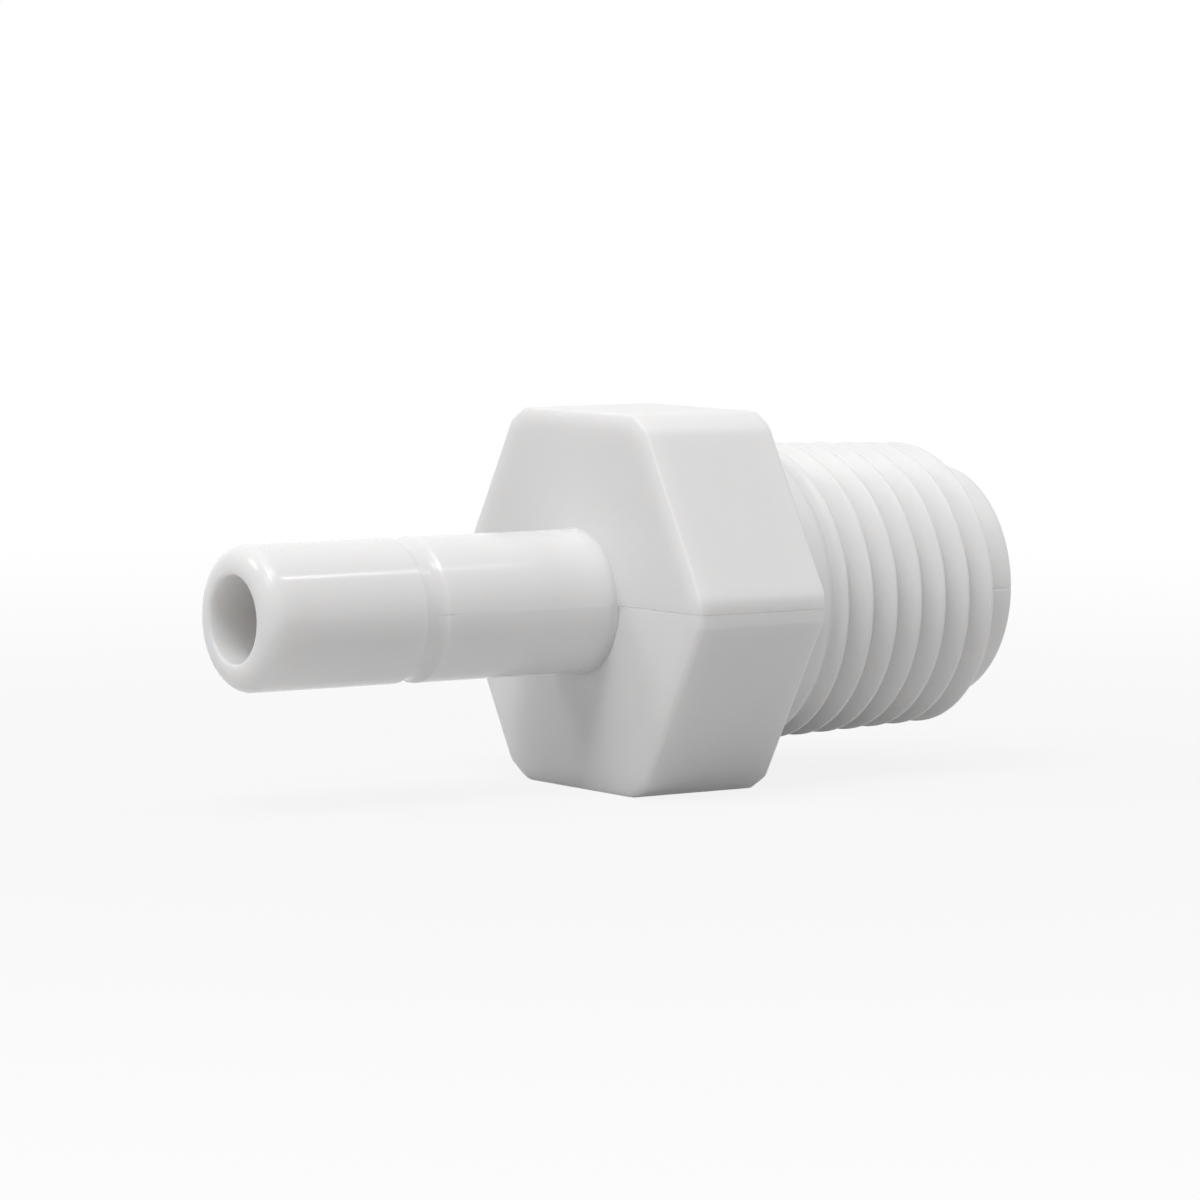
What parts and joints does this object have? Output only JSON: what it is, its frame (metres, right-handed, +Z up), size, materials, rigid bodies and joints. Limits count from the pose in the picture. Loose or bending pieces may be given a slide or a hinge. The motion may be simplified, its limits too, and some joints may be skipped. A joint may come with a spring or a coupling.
{
  "type": "stem adapter",
  "caption": "One-piece moulded plastic adapter: a smooth grooved tube stem, a spanner hexagon and a tapered male pipe thread, bored through.",
  "frame": {"origin": "on the axis, in the face of the hexagon that the stem grows out of, where the stem's insertion length is counted from", "axes": "+X along the axis from the stem towards the pipe thread; +Z up, square to the two flats that lie level; the part rests on the lower one"},
  "size_m": [0.0384, 0.0188, 0.0168],
  "materials": {
    "white_plastic": "satin moulded polypropylene, off-white, faintly translucent"
  },
  "bodies": {
    "root": {"adapter_body": "white_plastic"}
  },
  "joints": []
}
